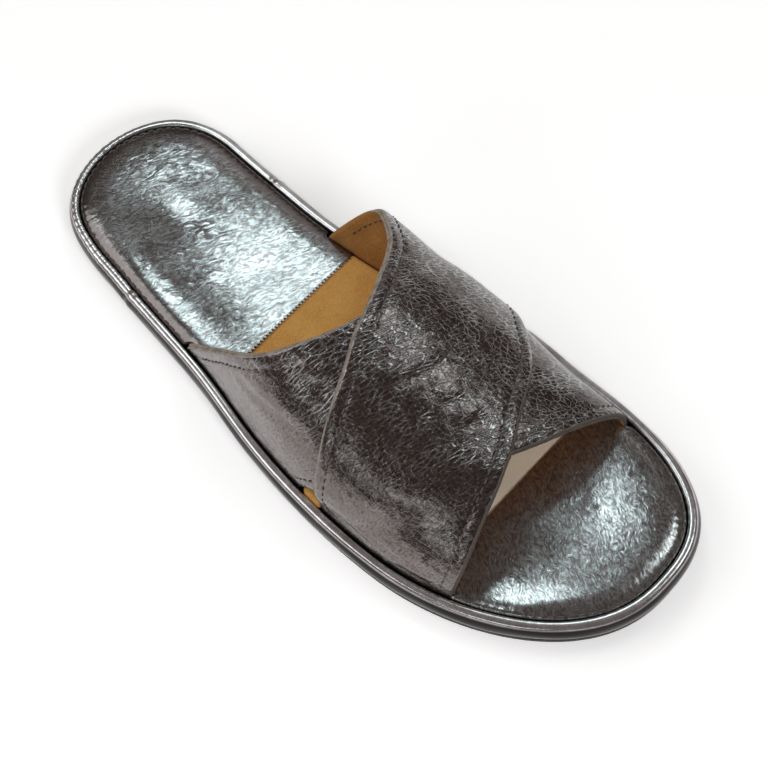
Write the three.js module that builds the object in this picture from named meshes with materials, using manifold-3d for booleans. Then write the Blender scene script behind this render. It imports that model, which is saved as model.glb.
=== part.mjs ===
// A slide sandal for the right foot: two crossed straps over a wrapped platform sole.
// Millimetres, +Z up, +Y towards the toe, +X towards the outer side of the foot.
// The origin is on the floor under the middle of the sole. In the tables, along is the
// distance from the back of the heel, and share runs over the foot from the outer side
// of the sole, 0, to the inner side, 1.

import * as THREE from "three";
import { mergeVertices } from "three/addons/utils/BufferGeometryUtils.js";
import Module from "manifold-3d";

const wasm = await Module();
wasm.setup();

// Driving dimensions
const LENGTH = 262;
const HEEL_RADIUS = 38.5;
const TOE_ROUND = { length: 76, squareness: 2.4 };
const TOE_SPRING = { start: 183, lift: 5.7 };
const WAIST = { start: 75, end: 150, lift: 1.0 };
const GAP = 0.3;
const WALL = 2.0;

// Heights over the floor, where the sole lies flat
const OUTSOLE_TOP = 3.0;
const BED = 8.6;
const RAND_TOP = 10.9;

// Distances inwards from the platform's outer edge
const OUTSOLE_INSET = 0.7;
const OUTSOLE_BEVEL = 0.6;
const SEAM_OUTER = 4.45;
const FOOT_CLEARANCE = 0.35;
const STRAP_FOOT_INSET = SEAM_OUTER + FOOT_CLEARANCE + WALL;
const SOCK_INSET = STRAP_FOOT_INSET + FOOT_CLEARANCE;

// Sole outline in plan: the middle and half width at each station, before the ends are rounded
const OUTLINE = [
  { along: 0, middle: -4.1, half: 39.0 },
  { along: 28, middle: -4.7, half: 35.2 },
  { along: 60, middle: -1.9, half: 36.1 },
  { along: 95, middle: 0.8, half: 38.2 },
  { along: 130, middle: 2.6, half: 43.6 },
  { along: 165, middle: 0.1, half: 49.4 },
  { along: 198, middle: -0.4, half: 48.6 },
  { along: 262, middle: -8.1, half: 45.9 },
];

// Sections of the last under the straps: height of the lining's crest over the floor, then for
// the outer and the inner side how far it swells past the seam and how square its arch is (2 is
// an ellipse)
const LAST = [
  { along: 80, crest: 65, outerSwell: -1.0, innerSwell: 8.5, outerSquare: 2.4, innerSquare: 2.4 },
  { along: 118, crest: 62.5, outerSwell: -1.0, innerSwell: 9.2, outerSquare: 2.4, innerSquare: 2.4 },
  { along: 142, crest: 56, outerSwell: 0, innerSwell: 6.8, outerSquare: 2.4, innerSquare: 2.15 },
  { along: 156, crest: 51.2, outerSwell: 0, innerSwell: 3.4, outerSquare: 2.4, innerSquare: 2.05 },
  { along: 177, crest: 44, outerSwell: 0, innerSwell: 0.9, outerSquare: 2.3, innerSquare: 1.95 },
  { along: 205, crest: 36.5, outerSwell: 0, innerSwell: 0.9, outerSquare: 2.2, innerSquare: 1.95 },
  { along: 225, crest: 33, outerSwell: 0, innerSwell: 0.5, outerSquare: 2.2, innerSquare: 1.95 },
];

// Rear and front edges of the two straps, over the foot
const UNDER_STRAP = [
  { share: 0, rear: 85, front: 150 },
  { share: 0.1, rear: 103, front: 164 },
  { share: 0.25, rear: 124, front: 182 },
  { share: 0.4, rear: 136.5, front: 196 },
  { share: 0.5, rear: 142.5, front: 202.5 },
  { share: 0.6, rear: 147, front: 207.5 },
  { share: 0.8, rear: 153, front: 213.5 },
  { share: 1, rear: 157, front: 216 },
];
const TOP_STRAP = [
  { share: 0, rear: 161.5, front: 212.5 },
  { share: 0.2, rear: 158, front: 212.5 },
  { share: 0.4, rear: 150.5, front: 207.5 },
  { share: 0.5, rear: 144, front: 202.5 },
  { share: 0.6, rear: 138.5, front: 195.5 },
  { share: 0.73, rear: 129, front: 186 },
  { share: 0.82, rear: 116, front: 175 },
  { share: 1, rear: 92, front: 153 },
];
const STRAP_STEPS = { over: 50, along: 12 };

// Where the top strap climbs over the lower one: how far it sinks in so that the two are one
// piece, the length of the climb, and the shares between which it leaves the sole
const CROSSING = { sink: 0.3, climb: 18, footShare: 0.01, freeShare: 0.1 };

// Profiles swept round the outline, from the lower edge to the upper edge
const OUTSOLE_PROFILE = [
  { inset: OUTSOLE_INSET + OUTSOLE_BEVEL, height: 0 },
  { inset: OUTSOLE_INSET, height: OUTSOLE_BEVEL },
  { inset: OUTSOLE_INSET, height: OUTSOLE_TOP },
];
const PLATFORM_PROFILE = [
  { inset: 1.6, height: OUTSOLE_TOP + GAP },
  { inset: 0.5, height: 4.0 },
  { inset: 0, height: 5.6 },
  { inset: 0.2, height: 7.6 },
  { inset: 0.9, height: 9.4 },
  { inset: 2.1, height: 10.5 },
  { inset: 3.3, height: RAND_TOP },
  { inset: SEAM_OUTER - 0.2, height: 10.4 },
  { inset: SEAM_OUTER, height: BED },
];
const SOCK_PROFILE = [
  { inset: SOCK_INSET, height: BED + GAP },
  { inset: SOCK_INSET, height: 10.9 },
  { inset: SOCK_INSET + 0.7, height: 11.6 },
  { inset: SOCK_INSET + 2.4, height: 12.1 },
  { inset: SOCK_INSET + 7, height: 12.5 },
  { inset: SOCK_INSET + 15, height: 12.7 },
];
const OUTLINE_STEPS = 44;

// Sock pieces, and how much lower the thin suede one lies
const SOCK_REAR_CUT = 104;
const SOCK_FRONT_CUT = 204;
const SUEDE_DROP = 0.6;

const COLOURS = {
  foil: { color: 0x5a504c, roughness: 0.34, metalness: 0.85 },
  wrap: { color: 0x6b6462, roughness: 0.22, metalness: 0.85 },
  suede: { color: 0x9a6c38, roughness: 0.95, metalness: 0 },
  rubber: { color: 0x231e1c, roughness: 0.7, metalness: 0 },
};

const clamp = (value) => Math.min(Math.max(value, 0), 1);
const smooth = (value) => clamp(value) ** 2 * (3 - 2 * clamp(value));

// A smooth curve through one column of a table
function curve(rows, axis, column, at) {
  const last = rows.length - 1;
  if (at <= rows[0][axis]) return rows[0][column];
  if (at >= rows[last][axis]) return rows[last][column];
  const i = rows.findIndex((row) => row[axis] > at) - 1;
  const slope = (k) => {
    const before = rows[Math.max(k - 1, 0)];
    const after = rows[Math.min(k + 1, last)];
    return (after[column] - before[column]) / (after[axis] - before[axis]);
  };
  const step = rows[i + 1][axis] - rows[i][axis];
  const t = (at - rows[i][axis]) / step;
  const ease = t * t * (3 - 2 * t);
  const leave = t * (1 - t) ** 2 * step;
  const arrive = t * t * (t - 1) * step;
  const between = rows[i][column] * (1 - ease) + rows[i + 1][column] * ease;
  return between + leave * slope(i) + arrive * slope(i + 1);
}

// Lift of the sole over the floor at a place along it: the waist's hollow and the toe spring
function rise(along) {
  const waist = clamp((along - WAIST.start) / (WAIST.end - WAIST.start));
  const spring = Math.max(along - TOE_SPRING.start, 0) / (LENGTH - TOE_SPRING.start);
  return WAIST.lift * Math.sin(Math.PI * waist) ** 2 + TOE_SPRING.lift * spring ** 2;
}

// Outer edge of the platform in plan, on the outer (1) or inner (-1) side
function edge(along, side) {
  const heel = clamp((HEEL_RADIUS - along) / HEEL_RADIUS);
  const toe = clamp((along - LENGTH + TOE_ROUND.length) / TOE_ROUND.length);
  const square = TOE_ROUND.squareness;
  const round = Math.sqrt(1 - heel ** 2) * (1 - toe ** square) ** (1 / square);
  return curve(OUTLINE, "along", "middle", along) + side * curve(OUTLINE, "along", "half", along) * round;
}

// The same edge moved inwards, away from the rounded ends
function insetEdge(along, side, inset) {
  const reach = 0.5;
  const slope = (edge(along + reach, side) - edge(along - reach, side)) / (2 * reach);
  return edge(along, side) - side * inset * Math.hypot(1, slope);
}

// Points round the outline, from the heel up the outer side to the toe and back, with the
// direction that points out of the sole at each
function outlineLoop() {
  const stations = Array.from({ length: OUTLINE_STEPS + 1 }, (_, k) => {
    return (LENGTH * (1 - Math.cos((Math.PI * k) / OUTLINE_STEPS))) / 2;
  });
  const outer = stations.map((along) => new THREE.Vector2(edge(along, 1), along));
  const inner = stations.slice(1, -1).map((along) => new THREE.Vector2(edge(along, -1), along));
  const points = [...outer, ...inner.reverse()];
  return points.map((point, k) => {
    const before = points[(k + points.length - 1) % points.length];
    const after = points[(k + 1) % points.length];
    const tangent = after.clone().sub(before).normalize();
    return { point, out: new THREE.Vector2(tangent.y, -tangent.x) };
  });
}

const LOOP = outlineLoop();

// The outline moved inwards and lifted to a height over the sole's rise
function ring({ inset, height }) {
  return LOOP.map(({ point, out }) => {
    const moved = point.clone().addScaledVector(out, -inset);
    return new THREE.Vector3(moved.x, moved.y - LENGTH / 2, height + rise(moved.y));
  });
}

function geometryOf(points, triangles) {
  const geometry = new THREE.BufferGeometry().setFromPoints(points);
  geometry.setIndex(triangles.flat());
  return geometry;
}

// A closed solid from a profile swept round the outline, closed by rungs across top and bottom
function sweep(profile) {
  const count = LOOP.length;
  const points = profile.flatMap(ring);
  const triangles = [];
  for (let level = 0; level < profile.length - 1; level++) {
    for (let k = 0; k < count; k++) {
      const a = level * count + k;
      const b = level * count + ((k + 1) % count);
      triangles.push([a, b, b + count], [a, b + count, a + count]);
    }
  }
  const top = (profile.length - 1) * count;
  for (let k = 0; k < count / 2; k++) {
    const outer = [k, k + 1];
    const inner = [(count - k) % count, count - k - 1];
    const rungs = [];
    if (outer[1] !== inner[1]) rungs.push([outer[0], outer[1], inner[1]]);
    if (outer[0] !== inner[0]) rungs.push([outer[0], inner[1], inner[0]]);
    for (const [a, b, c] of rungs) {
      triangles.push([top + a, top + b, top + c], [c, b, a]);
    }
  }
  return geometryOf(points, triangles);
}

function manifoldOf(geometry) {
  const bare = geometry.clone();
  bare.deleteAttribute("normal");
  bare.deleteAttribute("uv");
  const merged = mergeVertices(bare);
  const vertProperties = new Float32Array(merged.attributes.position.array);
  const triVerts = new Uint32Array(merged.index.array);
  return new wasm.Manifold(new wasm.Mesh({ numProp: 3, vertProperties, triVerts }));
}

function geometryFrom(manifold) {
  const mesh = manifold.getMesh();
  const geometry = new THREE.BufferGeometry();
  geometry.setAttribute("position", new THREE.BufferAttribute(new Float32Array(mesh.vertProperties), 3));
  geometry.setIndex(new THREE.BufferAttribute(new Uint32Array(mesh.triVerts), 1));
  return geometry;
}

// One piece of the padded sock: the stretch between two cuts straight across the foot
function sockPiece(start, end, drop) {
  const [foot, ...rest] = SOCK_PROFILE;
  const profile = [foot, ...rest.map(({ inset, height }) => ({ inset, height: height - drop }))];
  const stretch = new THREE.BoxGeometry(LENGTH, end - start, LENGTH);
  stretch.translate(0, (start + end - LENGTH) / 2, 0);
  return geometryFrom(manifoldOf(sweep(profile)).intersect(manifoldOf(stretch)));
}

// The lining's surface: an arch from seam to seam, swollen at the sides
function lastPoint(share, along) {
  const outer = insetEdge(along, 1, STRAP_FOOT_INSET);
  const inner = insetEdge(along, -1, STRAP_FOOT_INSET);
  const foot = BED + GAP + rise(along);
  const angle = Math.PI * share;
  const side = Math.sign(Math.cos(angle));
  const power = 2 / curve(LAST, "along", side > 0 ? "outerSquare" : "innerSquare", along);
  const swell = curve(LAST, "along", side > 0 ? "outerSwell" : "innerSwell", along);
  const level = Math.abs(Math.sin(angle)) ** power;
  const across = side * Math.abs(Math.cos(angle)) ** power;
  const arch = (outer + inner) / 2 + ((outer - inner) / 2) * across;
  const x = arch + side * swell * Math.sin(Math.PI * level) ** 2;
  const z = foot + (curve(LAST, "along", "crest", along) - foot) * level;
  return new THREE.Vector3(x, along - LENGTH / 2, z);
}

// A point standing off the lining's surface
function wallPoint(share, along, offset) {
  const shareStep = 0.001;
  const alongStep = 0.2;
  const inside = Math.min(Math.max(share, 2 * shareStep), 1 - 2 * shareStep);
  const over = lastPoint(inside + shareStep, along).sub(lastPoint(inside - shareStep, along));
  const forward = lastPoint(share, along + alongStep).sub(lastPoint(share, along - alongStep));
  const out = forward.cross(over).normalize();
  return lastPoint(share, along).addScaledVector(out, offset);
}

// How far the top strap stands off the lining: the lower strap's wall, faded out past its edges
function topLift(share, along) {
  const rear = curve(UNDER_STRAP, "share", "rear", share);
  const front = curve(UNDER_STRAP, "share", "front", share);
  const beyond = Math.max(rear - along, along - front, 0);
  const fromSeam = Math.min(share, 1 - share) - CROSSING.footShare;
  const free = smooth(fromSeam / (CROSSING.freeShare - CROSSING.footShare));
  return (WALL - CROSSING.sink) * free * (1 - smooth(beyond / CROSSING.climb));
}

// One strap: its lining side and its outer side, closed by the cut edges and the two feet
function strap(edges, lift) {
  const { over, along: steps } = STRAP_STEPS;
  const columns = steps + 1;
  const sheet = (over + 1) * columns;
  const place = (i, j, offset) => {
    const share = i / over;
    const rear = curve(edges, "share", "rear", share);
    const front = curve(edges, "share", "front", share);
    const along = rear + ((front - rear) * j) / steps;
    return wallPoint(share, along, lift(share, along) + offset);
  };
  const points = [];
  for (const offset of [0, WALL]) {
    for (let i = 0; i <= over; i++) {
      for (let j = 0; j <= steps; j++) points.push(place(i, j, offset));
    }
  }
  const triangles = [];
  const quad = (a, b, c, d) => triangles.push([a, b, c], [a, c, d]);
  const at = (i, j) => i * columns + j;
  for (let i = 0; i < over; i++) {
    for (let j = 0; j < steps; j++) {
      quad(at(i, j), at(i + 1, j), at(i + 1, j + 1), at(i, j + 1));
      quad(sheet + at(i, j), sheet + at(i, j + 1), sheet + at(i + 1, j + 1), sheet + at(i + 1, j));
    }
    quad(at(i, 0), sheet + at(i, 0), sheet + at(i + 1, 0), at(i + 1, 0));
    quad(at(i, steps), at(i + 1, steps), sheet + at(i + 1, steps), sheet + at(i, steps));
  }
  for (let j = 0; j < steps; j++) {
    quad(at(0, j), at(0, j + 1), sheet + at(0, j + 1), sheet + at(0, j));
    quad(at(over, j), sheet + at(over, j), sheet + at(over, j + 1), at(over, j + 1));
  }
  return manifoldOf(geometryOf(points, triangles));
}

// Both straps as one piece
function upper() {
  const under = strap(UNDER_STRAP, () => 0);
  const top = strap(TOP_STRAP, topLift);
  return geometryFrom(under.add(top));
}

const sandal = new THREE.Group();

function addPiece(name, geometry, colour) {
  const mesh = new THREE.Mesh(geometry, new THREE.MeshStandardMaterial(colour));
  mesh.name = name;
  sandal.add(mesh);
}

addPiece("outsole", sweep(OUTSOLE_PROFILE), COLOURS.rubber);
addPiece("platform", sweep(PLATFORM_PROFILE), COLOURS.wrap);
addPiece("sock_heel", sockPiece(0, SOCK_REAR_CUT, 0), COLOURS.foil);
addPiece("sock_middle", sockPiece(SOCK_REAR_CUT + GAP, SOCK_FRONT_CUT - GAP, SUEDE_DROP), COLOURS.suede);
addPiece("sock_toe", sockPiece(SOCK_FRONT_CUT, LENGTH, 0), COLOURS.foil);
addPiece("upper", upper(), COLOURS.foil);

export default sandal;
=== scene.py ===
# A slide sandal for the right foot, dressed: two crossed straps of crinkled foil leather, lined
# with suede, over a padded sock and a wrapped platform sole.
# Sizes are millimetres in the shoe's own terms: along is the distance from the back of the heel,
# and share runs over the foot from the outer side of the sole, 0, to the inner side, 1.
# Meshes are made in metres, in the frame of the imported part.

import math

import bmesh
import bpy
import numpy as np
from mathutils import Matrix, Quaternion, Vector


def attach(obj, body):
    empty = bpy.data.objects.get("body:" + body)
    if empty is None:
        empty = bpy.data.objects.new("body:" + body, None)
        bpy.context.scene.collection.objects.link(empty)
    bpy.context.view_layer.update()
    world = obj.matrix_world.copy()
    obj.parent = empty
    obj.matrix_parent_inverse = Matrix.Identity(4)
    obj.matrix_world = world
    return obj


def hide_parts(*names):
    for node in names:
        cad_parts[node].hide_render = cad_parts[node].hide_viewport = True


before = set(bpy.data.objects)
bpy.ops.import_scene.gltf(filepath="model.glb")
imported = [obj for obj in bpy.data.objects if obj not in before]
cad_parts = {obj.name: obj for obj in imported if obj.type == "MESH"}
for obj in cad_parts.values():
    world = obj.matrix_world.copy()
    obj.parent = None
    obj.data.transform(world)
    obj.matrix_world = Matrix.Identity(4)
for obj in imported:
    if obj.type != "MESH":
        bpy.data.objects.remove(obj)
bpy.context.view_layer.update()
MM = 0.001


def table(columns, *rows):
    """A short table as named columns."""
    return dict(zip(columns.split(), np.array(rows, float).T))


# Driving dimensions of the sole
LENGTH = 262.0
HEEL_RADIUS = 38.5
TOE_LENGTH = 76.0
TOE_SQUARENESS = 2.4
SPRING_START = 183.0
SPRING_LIFT = 5.7
WAIST_START = 75.0
WAIST_END = 150.0
WAIST_LIFT = 1.0
GAP = 0.3

# Heights over the floor and distances inwards from the platform's outer edge
OUTSOLE_TOP = 3.0
BED = 8.6
SEAM_OUTER = 4.45
FOOT_CLEARANCE = 0.35
WALL = 2.0
STRAP_FOOT_INSET = SEAM_OUTER + FOOT_CLEARANCE + WALL
SOCK_INSET = STRAP_FOOT_INSET + FOOT_CLEARANCE

OUTLINE = table(
    "along middle half",
    (0, -4.1, 39.0),
    (28, -4.7, 35.2),
    (60, -1.9, 36.1),
    (95, 0.8, 38.2),
    (130, 2.6, 43.6),
    (165, 0.1, 49.4),
    (198, -0.4, 48.6),
    (262, -8.1, 45.9),
)

# Sections of the last under the straps: crest height, then swell and squareness of each side
LAST = table(
    "along crest outer_swell inner_swell outer_square inner_square",
    (80, 65, -1.0, 8.5, 2.4, 2.4),
    (118, 62.5, -1.0, 9.2, 2.4, 2.4),
    (142, 56, 0, 6.8, 2.4, 2.15),
    (156, 51.2, 0, 3.4, 2.4, 2.05),
    (177, 44, 0, 0.9, 2.3, 1.95),
    (205, 36.5, 0, 0.9, 2.2, 1.95),
    (225, 33, 0, 0.5, 2.2, 1.95),
)

# Rear and front edges of the two straps, over the foot
UNDER_STRAP = table(
    "share rear front",
    (0, 85, 150),
    (0.1, 103, 164),
    (0.25, 124, 182),
    (0.4, 136.5, 196),
    (0.5, 142.5, 202.5),
    (0.6, 147, 207.5),
    (0.8, 153, 213.5),
    (1, 157, 216),
)
TOP_STRAP = table(
    "share rear front",
    (0, 161.5, 212.5),
    (0.2, 158, 212.5),
    (0.4, 150.5, 207.5),
    (0.5, 144, 202.5),
    (0.6, 138.5, 195.5),
    (0.73, 129, 186),
    (0.82, 116, 175),
    (1, 92, 153),
)

# Where the top strap climbs over the lower one, and the shares over which its foot comes free
CROSSING_SINK = 0.3
CROSSING_CLIMB = 18.0
CROSSING_FREE = (0.01, 0.1)

# Profiles swept round the outline, from the lower edge to the upper edge
OUTSOLE_PROFILE = table(
    "inset height",
    (1.3, 0),
    (0.95, 0.2),
    (0.7, 0.6),
    (0.72, 1.8),
    (0.7, 2.7),
    (0.95, OUTSOLE_TOP),
)
PLATFORM_PROFILE = table(
    "inset height",
    (1.6, OUTSOLE_TOP + GAP),
    (0.5, 4.0),
    (0, 5.6),
    (0.2, 7.6),
    (0.9, 9.4),
    (1.5, 10.35),
    (2.05, 10.7),
    (2.9, 10.8),
    (3.75, 10.8),
    (4.2, 10.45),
    (SEAM_OUTER, BED),
)
PLATFORM_STEPS = 28

# The sock's edge, where a strap's foot stands beside it and where its margin is sewn down
# beside the rand, with the fuller height that it has at the outer side of the toe
SOCK_EDGE = table(
    "free_inset free_height sewn_inset sewn_height full_height",
    (7.15, 8.9, 4.7, 8.9, 8.9),
    (7.15, 9.9, 4.7, 9.5, 10.0),
    (7.15, 10.7, 4.8, 10.0, 11.0),
    (7.4, 11.25, 5.3, 10.45, 11.7),
    (7.85, 11.6, 6.2, 10.95, 12.15),
    (8.6, 11.87, 7.4, 11.5, 12.4),
    (9.55, 12.1, 9.2, 12.02, 12.48),
    (11.5, 12.32, 11.4, 12.31, 12.5),
    (14.15, 12.5, 14.15, 12.5, 12.5),
)
SOCK_CROWN = table("inset height", (14.15, 12.5), (22.15, 12.7), (40, 12.75))
SOCK_TOP = {
    "inset": np.concatenate([SOCK_EDGE["free_inset"], SOCK_CROWN["inset"][1:]]),
    "height": np.concatenate([SOCK_EDGE["free_height"], SOCK_CROWN["height"][1:]]),
}
SOCK_SPINE_STEPS = 12
SEWN_CLEAR = (0.5, 2.1)
SOCK_REAR_CUT = 104.0
SOCK_FRONT_CUT = 204.0
SUEDE_DROP = 0.6

# Soft hollows and swells of the padded covers: middle, reaches, turn and height
SOCK_SWELLS = table(
    "x along across ahead turn height",
    (22, 70, 12, 40, 0, -0.9),
    (-4, 47, 10, 15, 0, 0.8),
    (-5, 35, 18, 24, 0, 0.9),
    (-29, 64, 10, 11, 0, -0.4),
    (-17, 224, 13, 8, 40, -0.45),
    (20, 220, 19, 10, -40, -0.9),
    (37, 219, 14, 40, 45, -0.9),
)
SWELL_INSETS = (6.0, 14.0)

SPINE_START = 42.0
SPINE_END = 200.0

LOOP_STEPS = 300
DENSE_STEPS = 4000
SEAM_PITCH = 3.3


def smooth(value):
    held = np.clip(value, 0, 1)
    return held * held * (3 - 2 * held)


def ramp(value, start, full):
    """Goes softly from 0 at start to 1 at full, which may be the lesser of the two."""
    return smooth((value - start) / (full - start))


def unit(vectors):
    """Vectors with their lengths made one."""
    return vectors / np.linalg.norm(vectors, axis=-1, keepdims=True)


def bell(distance, width):
    """A soft hump of height one and about that half width."""
    return np.exp(-((distance / width) ** 2))


def curve(rows, axis, column, at):
    """A smooth curve through one column of a table, level past its ends."""
    xs = rows[axis]
    ys = rows[column]
    slope = np.empty_like(ys)
    slope[1:-1] = (ys[2:] - ys[:-2]) / (xs[2:] - xs[:-2])
    slope[0] = (ys[1] - ys[0]) / (xs[1] - xs[0])
    slope[-1] = (ys[-1] - ys[-2]) / (xs[-1] - xs[-2])
    held = np.clip(at, xs[0], xs[-1])
    k = np.clip(np.searchsorted(xs, held, side="right") - 1, 0, len(xs) - 2)
    step = xs[k + 1] - xs[k]
    t = (held - xs[k]) / step
    ease = t * t * (3 - 2 * t)
    leave = t * (1 - t) ** 2 * step
    arrive = t * t * (t - 1) * step
    return ys[k] * (1 - ease) + ys[k + 1] * ease + leave * slope[k] + arrive * slope[k + 1]


def walked(path):
    """Distance from the start at each point of a path."""
    steps = np.linalg.norm(np.diff(path, axis=0), axis=1)
    return np.concatenate([[0], np.cumsum(steps)])


def rise(along):
    """Lift of the sole over the floor: the waist's hollow and the toe spring."""
    waist = np.clip((along - WAIST_START) / (WAIST_END - WAIST_START), 0, 1)
    spring = np.clip(along - SPRING_START, 0, None) / (LENGTH - SPRING_START)
    return WAIST_LIFT * np.sin(math.pi * waist) ** 2 + SPRING_LIFT * spring**2


def edge(along, side):
    """Outer edge of the platform in plan, on the outer (1) or inner (-1) side."""
    heel = np.clip((HEEL_RADIUS - along) / HEEL_RADIUS, 0, 1)
    toe = np.clip((along - LENGTH + TOE_LENGTH) / TOE_LENGTH, 0, 1)
    rounding = np.sqrt(1 - heel**2) * (1 - toe**TOE_SQUARENESS) ** (1 / TOE_SQUARENESS)
    middle = curve(OUTLINE, "along", "middle", along)
    return middle + side * curve(OUTLINE, "along", "half", along) * rounding


def inset_edge(along, side, inset):
    """The same edge moved inwards, away from the rounded ends."""
    reach = 0.5
    slope = (edge(along + reach, side) - edge(along - reach, side)) / (2 * reach)
    return edge(along, side) - side * inset * np.hypot(1, slope)


class Outline:
    """Points round the sole from the heel up the outer side to the toe and back, with the
    direction out of the sole and the distance walked at each."""

    def __init__(self, steps):
        dense = LENGTH * (1 - np.cos(np.linspace(0, math.pi, DENSE_STEPS))) / 2
        side = np.stack([edge(dense, 1), dense], 1)
        distance = walked(side)
        stations = np.interp(np.linspace(0, distance[-1], steps + 1), distance, dense)
        outer = np.stack([edge(stations, 1), stations], 1)
        inner = np.stack([edge(stations, -1), stations], 1)[1:-1][::-1]
        self.points = np.concatenate([outer, inner])
        self.count = len(self.points)
        tangent = unit(np.roll(self.points, -1, 0) - np.roll(self.points, 1, 0))
        self.out = np.stack([tangent[:, 1], -tangent[:, 0]], 1)
        self.walked = walked(self.points)
        self.side = np.where(np.arange(self.count) <= steps, 1, -1)

    def inside(self, inset):
        """The outline moved inwards, as x and along."""
        return self.points - self.out * np.broadcast_to(inset, self.count)[:, None]

    def spine(self):
        """The point on the sole's middle line that each point of the outline closes onto."""
        along = np.clip(self.points[:, 1], SPINE_START, SPINE_END)
        return np.stack([curve(OUTLINE, "along", "middle", along), along], 1)


LOOP = Outline(LOOP_STEPS)


def lifted(plan, height):
    """Points in plan, as x and along, at a height over the sole's rise."""
    return np.column_stack([plan[:, 0], plan[:, 1] - LENGTH / 2, height + rise(plan[:, 1])])


def swept(rings):
    """Points and faces of a closed form through rings round the outline, the lowest first."""
    count = len(rings[0])
    levels = len(rings)
    k = np.arange(count)
    after = (k + 1) % count
    faces = []
    for level in range(levels - 1):
        low = level * count
        high = low + count
        faces += np.stack([low + k, low + after, high + after, high + k], 1).tolist()
    top = (levels - 1) * count
    for here in range(count // 2):
        rung = [here, here + 1, count - here - 1, (count - here) % count]
        corners = list(dict.fromkeys(rung))
        faces.append([top + c for c in corners])
        faces.append(corners[::-1])
    return np.concatenate(rings), faces


def new_piece(name, points, faces, materials, slot, face_materials=None, flat=None):
    """A named mesh of the shoe from points in millimetres, riding on its one body. Its materials
    can read the three values laid on each point by flat."""
    mesh = bpy.data.meshes.new(name)
    mesh.from_pydata((np.asarray(points) * MM).tolist(), [], faces)
    for material in materials:
        mesh.materials.append(material)
    if face_materials is not None:
        mesh.polygons.foreach_set("material_index", np.asarray(face_materials, np.int32))
    mesh.shade_smooth()
    if flat is not None:
        lay = mesh.attributes.new("flat", "FLOAT_VECTOR", "POINT")
        lay.data.foreach_set("vector", (np.asarray(flat) * MM).astype(np.float32).ravel())
    mesh.update()
    piece = bpy.data.objects.new(name, mesh)
    bpy.context.scene.collection.objects.link(piece)
    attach(piece, "root")
    return piece


# Materials

MID_TONE = (0.5, 0.5, 0.5)


class Shader:
    """A material built one node at a time; an input that is a socket is linked."""

    def __init__(self, name):
        self.material = bpy.data.materials.new(name)
        self.material.use_nodes = True
        self.tree = self.material.node_tree
        self.tree.nodes.clear()

    def add(self, kind, inputs, output=0, **settings):
        node = self.tree.nodes.new("ShaderNode" + kind)
        for key, value in settings.items():
            setattr(node, key, value)
        for key, value in inputs.items():
            if isinstance(value, bpy.types.NodeSocket):
                self.tree.links.new(value, node.inputs[key])
            else:
                node.inputs[key].default_value = value
        return node.outputs[output] if node.outputs else None

    def place(self):
        """Position on the shoe, in metres."""
        return self.add("TexCoord", {}, "Object")

    def flat(self):
        """What new_piece laid on the points, in metres: the place on the leather laid flat for a
        strap, the height in the second value for the wrap, which places its painted shade, and the
        share of foil that keeps its own tone, 0 on the heel's darker margin, in the third value for a
        sock."""
        return self.add("Attribute", {}, "Vector", attribute_name="flat")

    def part(self, vector, axis):
        """One of a vector's three values."""
        return self.add("SeparateXYZ", {"Vector": vector}, axis)

    def vectors(self, operation, a, b, output=0):
        """Two vectors put together."""
        return self.add("VectorMath", {0: a, 1: b}, output, operation=operation)

    def lay(self, vector, turn=0.0, scale=(1, 1, 1)):
        """Coordinates turned and then stretched."""
        values = {"Vector": vector, "Angle": math.radians(turn)}
        turned = self.add("VectorRotate", values, rotation_type="Z_AXIS")
        return self.vectors("MULTIPLY", turned, scale)

    def noise(self, vector, scale, detail=3.0, roughness=0.55, output="Fac"):
        values = {"Vector": vector, "Scale": scale, "Detail": detail, "Roughness": roughness}
        return self.add("TexNoise", values, output)

    def warp(self, vector, scale, reach):
        """Coordinates pushed about by noise, by up to about half of reach."""
        push = self.noise(vector, scale, 2.0, output="Color")
        centred = self.vectors("SUBTRACT", push, MID_TONE)
        scaled = self.add("VectorMath", {0: centred, "Scale": reach}, operation="SCALE")
        return self.vectors("ADD", vector, scaled)

    def creased(self, vector, scale, width):
        """Ridges along the borders of cells: 1 on a ridge, 0 a width away, in shares of a cell."""
        values = {"Vector": vector, "Scale": scale}
        cells = {"feature": "DISTANCE_TO_EDGE", "voronoi_dimensions": "2D"}
        gap = self.add("TexVoronoi", values, "Distance", **cells)
        return self.map(gap, 0.0, width, 1.0, 0.0)

    def facets(self, vector, scale, lean):
        """Heights in millimetres of small flat cells that each lean their own way."""
        values = {"Vector": vector, "Scale": scale}
        chance = self.add("TexVoronoi", values, "Color", voronoi_dimensions="2D")
        centre = chance.node.outputs["Position"]
        offset = self.vectors("SUBTRACT", vector, centre)
        slope = self.vectors("SUBTRACT", chance, MID_TONE)
        height = self.vectors("DOT_PRODUCT", offset, slope, "Value")
        return self.product(height, 2 * lean / MM)

    def map(self, value, low, high, start=0.0, end=1.0):
        """Goes softly from start to end while the value goes from low to high."""
        inputs = {"Value": value, 1: low, 2: high, 3: start, 4: end}
        return self.add("MapRange", inputs, interpolation_type="SMOOTHSTEP")

    def sum(self, a, b):
        return self.add("Math", {0: a, 1: b}, operation="ADD")

    def product(self, a, b):
        return self.add("Math", {0: a, 1: b}, operation="MULTIPLY")

    def mix(self, share, a, b):
        """Colours mixed by a share."""
        return self.add("Mix", {0: share, 6: a, 7: b}, 2, data_type="RGBA")

    def bump(self, *heights):
        """A normal from heights, each a pattern and its depth in millimetres."""
        total = None
        for pattern, depth in heights:
            scaled = self.product(pattern, depth)
            total = scaled if total is None else self.sum(total, scaled)
        return self.add("Bump", {"Height": total, "Strength": 1.0, "Distance": MM})

    def surface(self, **inputs):
        """The finished material, from the shader's own sockets by their names."""
        named = {key.replace("_", " "): value for key, value in inputs.items()}
        shader = self.add("BsdfPrincipled", named)
        self.add("OutputMaterial", {"Surface": shader})
        return self.material


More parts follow.
